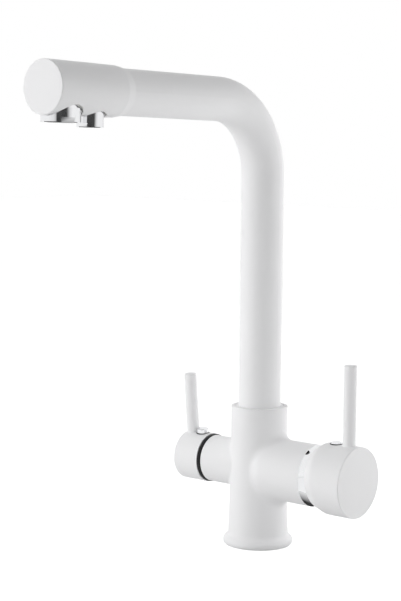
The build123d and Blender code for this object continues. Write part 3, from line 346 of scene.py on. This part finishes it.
def plain_finish(name, dark, light, roughness, gloss, metallic, relief_size, relief_depth):
    """A finish whose colour wanders between two shades and whose relief has one size."""
    plain = Finish(name)
    cloud = plain.noise(PLAIN_CLOUD_SIZE, PLAIN_CLOUD_DETAIL)
    relief = plain.noise(relief_size)
    plain.set(
        {
            "Base Color": plain.blend(cloud, dark, light),
            "Roughness": roughness + RELIEF_ROUGHNESS * relief,
            "Metallic": metallic,
            "Specular IOR Level": gloss,
        }
    )
    plain.bump(relief, relief_depth)
    return plain.material


for name, values in PLAIN.items():
    finishes[name] = plain_finish(name, *values)
print("finishes:", ", ".join(sorted(finishes)))

# %% [markdown]
# ## Giving each solid its finish
#
# The record already says which slot each node belongs to, so the finish goes on by that name, which
# is surer than naming forty solids by hand. The solids bring the true normals of their curved faces
# along, so they shade smoothly as they are. The casting alone gets the coat with bare brass.

# %% Dress the solids
for part in frame["record"]["subparts"]:
    solid = nodes[part["node"]]
    solid.data.materials.clear()
    solid.data.materials.append(finishes[part["material_slot"]])
nodes["body_casting"].data.materials[0] = casting_finish
print("dressed:", len(nodes))

# %% [markdown]
# ## The aerator's wrench flats
#
# The aerator screws in on a thread, so how far round its flats end up is chance. In the photo they
# ended up turned the other way from the solid's. The housing could be modelled again, but only its
# turn differs, so a copy turned about the outlet's own axis stands for it. A solid's mesh is loose
# triangles, so the copy is merged first. The housing has two like flats, so the middle of its
# corners lies on that axis.

# %% Turned aerator
ARM_RISE = math.radians(1.64)
FLATS_TURN = math.radians(46)
CREASE = math.radians(30)
WELD = 0.000001


def smooth_solid(piece):
    """Smooth shading with crisp edges. The weights keep flat faces flat beside small roundings."""
    bpy.ops.object.shade_smooth_by_angle(angle=CREASE)
    bpy.ops.object.modifier_add(type="WEIGHTED_NORMAL")
    piece.modifiers[-1].keep_sharp = True
    bpy.ops.object.modifier_apply(modifier=piece.modifiers[-1].name)


def turned_aerator():
    bpy.ops.object.select_all(action="DESELECT")
    piece = bpy.data.objects.new("turned_aerator_housing", nodes["aerator_housing"].data.copy())
    bpy.context.collection.objects.link(piece)
    bpy.context.view_layer.objects.active = piece
    piece.select_set(True)
    bpy.ops.mesh.customdata_custom_splitnormals_clear()
    bpy.ops.object.mode_set(mode="EDIT")
    bpy.ops.mesh.select_all(action="SELECT")
    bpy.ops.mesh.remove_doubles(threshold=WELD)
    bpy.ops.object.mode_set(mode="OBJECT")
    corners = [corner.co for corner in piece.data.vertices]
    centre = sum(corners, Vector()) / len(corners)
    axis = Vector((0, -math.sin(ARM_RISE), -math.cos(ARM_RISE)))
    turning = Matrix.Rotation(FLATS_TURN, 4, axis)
    piece.data.transform(Matrix.Translation(centre) @ turning @ Matrix.Translation(-centre))
    smooth_solid(piece)
    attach(piece, "spout")
    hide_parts("aerator_housing")
    print("turned about", [round(v * 1000, 2) for v in centre], "mm, corners:", len(corners))


turned_aerator()

# %% [markdown]
# ## The button over the filter cap's grub screw
#
# In the photo this chrome button stands prouder than the mixer's, nearly half its own width above
# the cap. It could be a cylinder with a bevel, but its top is a low crown and not a rounded edge.
# So its outline, a straight rim and the crown, is drawn as a chain of points and spun about the
# button's own axis, which leans with the cap.

# %% Lines and turned shapes
SPIN_STEPS = 96


def one_point(name, place):
    """A new mesh of one point, left in edit mode with the point selected."""
    bpy.ops.object.select_all(action="DESELECT")
    bpy.ops.mesh.primitive_plane_add(size=1)
    piece = bpy.context.object
    piece.name = name
    bpy.ops.object.mode_set(mode="EDIT")
    bpy.ops.mesh.delete(type="ONLY_FACE")
    bpy.ops.mesh.select_all(action="SELECT")
    bpy.ops.mesh.merge(type="CENTER")
    bpy.ops.transform.translate(value=place)
    return piece


def draw_line(shift):
    """Draws on from the selected point, by a shift from it."""
    bpy.ops.mesh.extrude_region_move(TRANSFORM_OT_translate={"value": shift})


def spin_whole_turn():
    """Spins what is being edited once round the z axis, closes it and leaves edit mode."""
    bpy.ops.mesh.select_all(action="SELECT")
    bpy.ops.mesh.spin(steps=SPIN_STEPS, angle=2 * math.pi, center=(0, 0, 0), axis=(0, 0, 1))
    bpy.ops.mesh.select_all(action="SELECT")
    bpy.ops.mesh.remove_doubles(threshold=WELD)
    bpy.ops.mesh.normals_make_consistent(inside=False)
    bpy.ops.object.mode_set(mode="OBJECT")


def put_on_cap(piece, middle, lean, cap_radius):
    """Moves a piece's mesh from the origin to the top of a cap, leaned about the cap's axis."""
    turned = Matrix.Translation(middle) @ Matrix.Rotation(lean, 4, "X")
    piece.data.transform(turned @ Matrix.Translation((0, 0, cap_radius)))


print("turned shapes have", SPIN_STEPS, "sides")

# %% Filter button
FILTER_CAP_MIDDLE = Vector((-0.0531, 0, 0.0587))
FILTER_CAP_RADIUS = 0.0185
BUTTON_LEAN = math.radians(5.4)
BUTTON_RADIUS = 0.0046
BUTTON_SUNK = 0.0009
BUTTON_RIM = 0.0028
BUTTON_CROWN = 0.0014
CROWN_STEPS = 10


def filter_button():
    button = one_point("filter_button", (0, 0, -BUTTON_SUNK))
    draw_line((BUTTON_RADIUS, 0, 0))
    draw_line((0, 0, BUTTON_SUNK + BUTTON_RIM))
    here = Vector((1, 0))
    for step in range(1, CROWN_STEPS + 1):
        angle = math.pi / 2 * step / CROWN_STEPS
        there = Vector((math.cos(angle), math.sin(angle)))
        move = there - here
        draw_line((move.x * BUTTON_RADIUS, 0, move.y * BUTTON_CROWN))
        here = there
    spin_whole_turn()
    put_on_cap(button, FILTER_CAP_MIDDLE, BUTTON_LEAN, FILTER_CAP_RADIUS)
    button.data.materials.append(finishes["chrome_trim"])
    smooth_solid(button)
    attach(button, "filter_handle")
    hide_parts("filter_plug")
    print("filter button:", len(button.data.polygons), "faces")


filter_button()

# %% [markdown]
# ## The painted shade round each button
#
# Each button is outlined by a thin black line where it enters its cap, which is the shade in the gap
# there. A bump or a dark stripe in the coat would vanish from the side, so this painted shade is a
# black ring, half sunk in the cap: a small circle, spun about the button's axis. It takes the black
# of the rubber seals, but it stands for shade and not for rubber.

# %% Rings of painted shade
RING_THICKNESS = 0.0008
RING_SECTION = 16
MIXER_CAP_MIDDLE = Vector((0.0703, 0, 0.0587))
MIXER_CAP_RADIUS = 0.0259
MIXER_BUTTON_RADIUS = 0.0043


# A black ring of painted shade, where a button meets its cap.
def shade_gap_ring(name, middle, lean, cap_radius, radius, body):
    bpy.ops.object.select_all(action="DESELECT")
    bpy.ops.mesh.primitive_circle_add(
        radius=RING_THICKNESS / 2,
        vertices=RING_SECTION,
        location=(radius, 0, 0),
        rotation=(math.pi / 2, 0, 0),
    )
    bpy.ops.object.transform_apply(location=True, rotation=True, scale=True)
    ring = bpy.context.object
    ring.name = name
    bpy.ops.object.mode_set(mode="EDIT")
    spin_whole_turn()
    put_on_cap(ring, middle, lean, cap_radius)
    # The black rubber finish paints the shade in the gap round the button.
    ring.data.materials.append(finishes["black_rubber"])
    bpy.ops.object.shade_smooth()
    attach(ring, body)
    print(name, "has", len(ring.data.polygons), "faces")


shade_gap_ring(
    "filter_button_shade_gap",
    FILTER_CAP_MIDDLE,
    BUTTON_LEAN,
    FILTER_CAP_RADIUS,
    BUTTON_RADIUS,
    "filter_handle",
)
shade_gap_ring(
    "mixer_button_shade_gap",
    MIXER_CAP_MIDDLE,
    0,
    MIXER_CAP_RADIUS,
    MIXER_BUTTON_RADIUS,
    "mixer_handle",
)

# %% [markdown]
# ## The floor and the sky
#
# The tap stands on a plain white floor under a plain white sky. Stronger lamps would turn the floor
# white too, but they would burn out the tap. So to the camera both are pure white of themselves,
# and the picture has no horizon, but the floor still takes the soft shadow at the foot: a dim glow
# is added to its own shading instead of replacing it.
#
# The sky lights the tap as a white tent does: dim overhead, brighter behind the tap and on the
# camera's left. Each of the two bright sides is a broad lobe, the cosine of the angle from its
# middle. The camera and the chrome see the sky as plain white.

# %% Floor
FLOOR_HALF = 4.0
FLOOR_WHITE = ((0.80, 0.80, 0.80), (0.82, 0.82, 0.82))
FLOOR_WEAR_SIZE = 0.5
FLOOR_ROUGHNESS = 0.8
FLOOR_GLOW = 0.62
FLOOR_GLOW_IN_CHROME = 0.35


def white_floor():
    bpy.ops.object.select_all(action="DESELECT")
    bpy.ops.mesh.primitive_plane_add(size=2 * FLOOR_HALF, location=(0, 0, 0))
    floor = bpy.context.object
    floor.name = "floor"
    paint = Finish("floor_white")
    colour = paint.blend(paint.noise(FLOOR_WEAR_SIZE), *FLOOR_WHITE)
    camera_ray, glossy_ray = paint.rays("Camera", "Glossy")
    glow = camera_ray * FLOOR_GLOW + glossy_ray * FLOOR_GLOW_IN_CHROME
    paint.set(
        {
            "Base Color": colour,
            "Roughness": FLOOR_ROUGHNESS,
            "Emission Color": (1, 1, 1, 1),
            "Emission Strength": glow,
        }
    )
    floor.data.materials.append(paint.material)


white_floor()
print("floor:", 2 * FLOOR_HALF, "m square")

# %% Sky
CAMERA_AZIMUTH = math.radians(39.87)
SKY_PLAIN = 0.02
SKY_BACK = 0.48
SKY_LEFT = 0.90
SKY_RISE = 0.176


def around(turn, distance, height):
    """A place beside the tap: turn is in degrees to the camera's right, seen from above."""
    heading = math.radians(turn) + CAMERA_AZIMUTH - math.pi / 2
    return Vector((distance * math.cos(heading), distance * math.sin(heading), height))


def sky_lobe(sky, turn):
    """1 towards one side and down to 0 at a right angle from it."""
    direction = sky.add("ShaderNodeTexCoord").outputs["Generated"]
    values = {0: direction, 1: around(turn, 1, SKY_RISE).normalized()}
    cosine = sky.out("ShaderNodeVectorMath", "Value", {"operation": "DOT_PRODUCT"}, values)
    return cosine.at_least(0.0)


def white_sky():
    world = bpy.data.worlds.new("studio")
    bpy.context.scene.world = world
    world.use_nodes = True
    sky = Graph(world.node_tree)
    light = SKY_PLAIN + sky_lobe(sky, 180) * SKY_BACK + sky_lobe(sky, -90) * SKY_LEFT
    camera_ray, glossy_ray = sky.rays("Camera", "Glossy")
    seen = camera_ray.at_least(glossy_ray)
    background = sky.tree.nodes["Background"].inputs
    sky.feed(background["Color"], (1, 1, 1, 1))
    sky.feed(background["Strength"], light + seen * (1.0 - light))


white_sky()
print("sky:", SKY_PLAIN, "overhead,", SKY_BACK, "more behind,", SKY_LEFT, "more on the left")

# %% [markdown]
# ## The lamps
#
# The paint is shaped by seven soft boxes, area lamps that all face the tap. Two on the left and one
# on the right light the tube's two edges and leave it grey down the middle. A high one on the left
# lights the arm, two behind keep the far side clean, and a weak one beside the lens lifts the
# front. One big lamp would be simpler, but it would show no form. The powers were found by
# rendering each lamp alone and adding the pictures up until the greys of the paint were right.
# The lamps don't show in the chrome, which would turn them into burnt spots.

# %% Soft boxes
LAMP_AIM = Vector((0, -0.05, 0.17))

# Degrees to the camera's right, distance and height in metres, width and height of the box, watts.
SOFT_BOXES = {
    "left_soft_box": (-75, 1.15, 0.30, (0.7, 0.9), 1.97),
    "near_left_soft_box": (-85, 0.60, 0.20, (0.4, 0.5), 0.75),
    "high_left_soft_box": (-45, 0.90, 1.00, (0.7, 0.7), 1.42),
    "right_soft_box": (85, 0.60, 0.26, (0.45, 0.6), 1.85),
    "back_soft_box": (135, 1.20, 0.35, (0.8, 0.9), 5.9),
    "top_back_soft_box": (180, 0.60, 1.20, (0.9, 0.7), 0.50),
    "front_soft_box": (8, 1.40, 0.45, (0.6, 0.6), 2.29),
}


def soft_box(name, turn, distance, height, size, power):
    bpy.ops.object.light_add(type="AREA", location=around(turn, distance, height))
    lamp = bpy.context.object
    lamp.name = name
    lamp.rotation_euler = (LAMP_AIM - lamp.location).to_track_quat("-Z", "Y").to_euler()
    lamp.data.shape = "RECTANGLE"
    lamp.data.size, lamp.data.size_y = size
    lamp.data.energy = power
    lamp.visible_camera = False
    lamp.visible_glossy = False
    print(name, power, "W")


for name, setting in SOFT_BOXES.items():
    soft_box(name, *setting)

# %% [markdown]
# ## What the chrome sees
#
# Chrome is only as good as its surroundings. In a white tent the camera looks in through a dark
# opening, and every upright chrome cylinder shows that opening as one dark band, crisp on its left
# and fading on its right. A black plane would give two hard edges, so the opening is a curved strip
# round the camera's side, at the outlets' height, that glows by its own angle round the tap: black
# in front, white at the far ends. A low white card hides it from the dome ring. Only reflections
# see the two.

# %% Finishes that glow by themselves
OPENING_BOTTOM = 0.28
OPENING_TOP = 0.42
OPENING_FADE = 0.05
STRIP_LEFT, STRIP_RIGHT = -62.0, 76.0
TENT_WHITE = (1.0, 1.0, 1.0)
CARD_SHADE = (0.99, 0.99, 0.99)
CARD_CLOUD_SIZE = 0.05

# Degrees to the camera's right, and how bright the opening is there.
OPENING_SHADES = (
    (-62, 1.00),
    (-36, 0.86),
    (-25, 0.62),
    (-20.5, 0.05),
    (28, 0.05),
    (36, 0.30),
    (42, 0.56),
    (48, 0.78),
    (57, 0.90),
    (67, 1.00),
)


def glow_only(finish, colour):
    """Black paint that shines by itself, so that no lamp changes it."""
    finish.set({"Base Color": (0, 0, 0, 1), "Emission Color": colour, "Emission Strength": 1.0})
    return finish.material


def along_strip(turn):
    """From 0 at the strip's left end to 1 at its right end."""
    return (turn - STRIP_LEFT) * (1 / (STRIP_RIGHT - STRIP_LEFT))


def opening_finish():
    opening = Finish("tent_opening")
    x, y, z = opening.axes()
    heading = y.math("ARCTAN2", y, x) * math.degrees(1)
    turn = heading + (90 - math.degrees(CAMERA_AZIMUTH))
    stops = [(along_strip(angle), shade) for angle, shade in OPENING_SHADES]
    ramp = opening.add("ShaderNodeValToRGB", {"stops": stops}, {0: along_strip(turn)})
    shown = z.above(OPENING_BOTTOM, OPENING_FADE) * z.below(OPENING_TOP, OPENING_FADE)
    opening.set({"Specular IOR Level": 0.0})
    return glow_only(opening, opening.blend(shown, TENT_WHITE, ramp.outputs["Color"]))


def card_finish():
    card = Finish("white_card")
    return glow_only(card, card.blend(card.noise(CARD_CLOUD_SIZE), CARD_SHADE, TENT_WHITE))


print("the opening's shades run from", OPENING_SHADES[0][0], "to", OPENING_SHADES[-1][0], "degrees")

# %% The tent's dark opening and the card
OPENING_RADIUS = 1.2
CARD_RADIUS = 0.30
CARD_BOTTOM = 0.09
CARD_TOP = 0.17
STRIP_STEPS = 69


def only_in_chrome(piece, finish):
    """Gives a studio shape its finish and hides it from all but reflections."""
    piece.data.materials.append(finish)
    piece.visible_camera = False
    piece.visible_diffuse = False
    piece.visible_shadow = False


def curved_strip(name, radius, bottom, top, finish):
    """An upright line, spun round the tap from the strip's left end to its right end."""
    strip = one_point(name, around(STRIP_LEFT, radius, bottom))
    draw_line((0, 0, top - bottom))
    bpy.ops.mesh.select_all(action="SELECT")
    sweep = math.radians(STRIP_RIGHT - STRIP_LEFT)
    bpy.ops.mesh.spin(steps=STRIP_STEPS, angle=sweep, center=(0, 0, 0), axis=(0, 0, -1))
    bpy.ops.object.mode_set(mode="OBJECT")
    only_in_chrome(strip, finish)
    print(name, "has", len(strip.data.polygons), "faces")


curved_strip("tent_opening", OPENING_RADIUS, OPENING_BOTTOM, OPENING_TOP, opening_finish())
curved_strip("white_card", CARD_RADIUS, CARD_BOTTOM, CARD_TOP, card_finish())

# %% [markdown]
# ## Three small dark spots
#
# A tent has a hole at the top too, the tap stands on a dark stand that is cut away around the foot,
# and the head hangs over a dark basin. Each leaves a small dark patch in the chrome: near the top
# of the dome ring, at its bottom, and along the lower edges of the two outlets. They could be
# modelled in full, but chrome this small shows only their darkness. So all three are discs that
# only reflections see, and the stand's fades out towards its rim.

# %% The hole overhead, the stand and the basin
DISC_CORNERS = 64
HOLE_RADIUS = 0.28
HOLE_PLACE = (0, 0, 1.5)
STAND_RADIUS = 0.09
STAND_PLACE = (0, 0, 0.0004)
STAND_DARK_RADIUS = 0.053
STAND_EASE = 0.7
STAND_SHADES = ((0.01, 0.01, 0.01), (0.90, 0.90, 0.90))
BASIN_RADIUS = 0.09
BASIN_PLACE = (0, -0.21, 0.25)


def stand_finish():
    stand = Finish("dark_stand")
    x, y, z = stand.axes()
    fade = from_axis(x, y).above(STAND_DARK_RADIUS, STAND_RADIUS - STAND_DARK_RADIUS)
    return glow_only(stand, stand.blend(fade.math("POWER", fade, STAND_EASE), *STAND_SHADES))


def dark_disc(name, radius, place, finish):
    bpy.ops.object.select_all(action="DESELECT")
    bpy.ops.mesh.primitive_circle_add(
        radius=radius, fill_type="NGON", vertices=DISC_CORNERS, location=place
    )
    disc = bpy.context.object
    disc.name = name
    only_in_chrome(disc, finish)
    print(name, "at", place, "radius", radius)


dark_disc("hole_overhead", HOLE_RADIUS, HOLE_PLACE, finishes["black_trim"])
dark_disc("dark_stand", STAND_RADIUS, STAND_PLACE, stand_finish())
dark_disc("dark_basin", BASIN_RADIUS, BASIN_PLACE, finishes["black_trim"])

# %% [markdown]
# ## The camera
#
# The camera stands 1.24 m away with a long lens, 40 degrees round from the spout's side and a
# little above. It could be aimed with a Track To constraint, but that keeps it level, and this one
# is rolled by half a degree. So it is placed from three directions: where it looks, what is right
# and what is up.

# %% Camera
CAMERA_ELEVATION = math.radians(6.21)
CAMERA_ROLL = math.radians(-0.58)
CAMERA_DISTANCE = 1.237
CAMERA_SHIFT_RIGHT = -0.04472
CAMERA_SHIFT_UP = 0.00718
VIEW_CENTRE = Vector((0, 0, 0.175))
PHOTO_WIDTH = 401
FOCAL_PIXELS = 1672.8


def studio_camera():
    turn, rise = CAMERA_AZIMUTH, CAMERA_ELEVATION
    level_forward = Vector((-math.sin(turn), math.cos(turn), 0))
    level_right = Vector((math.cos(turn), math.sin(turn), 0))
    forward = level_forward * math.cos(rise) - Vector((0, 0, math.sin(rise)))
    level_up = level_right.cross(forward)
    place = VIEW_CENTRE - forward * CAMERA_DISTANCE
    place += level_right * CAMERA_SHIFT_RIGHT + level_up * CAMERA_SHIFT_UP
    right = level_right * math.cos(CAMERA_ROLL) - level_up * math.sin(CAMERA_ROLL)
    up = level_up * math.cos(CAMERA_ROLL) + level_right * math.sin(CAMERA_ROLL)
    facing = Matrix((right, up, -forward)).transposed().to_4x4()
    bpy.ops.object.camera_add()
    camera = bpy.context.object
    camera.matrix_world = Matrix.Translation(place) @ facing
    camera.data.sensor_fit = "HORIZONTAL"
    camera.data.lens = FOCAL_PIXELS / PHOTO_WIDTH * camera.data.sensor_width
    bpy.context.scene.camera = camera
    print("camera at", [round(v, 3) for v in place], "lens", round(camera.data.lens, 1), "mm")


studio_camera()
bpy.context.scene.view_settings.view_transform = "Standard"
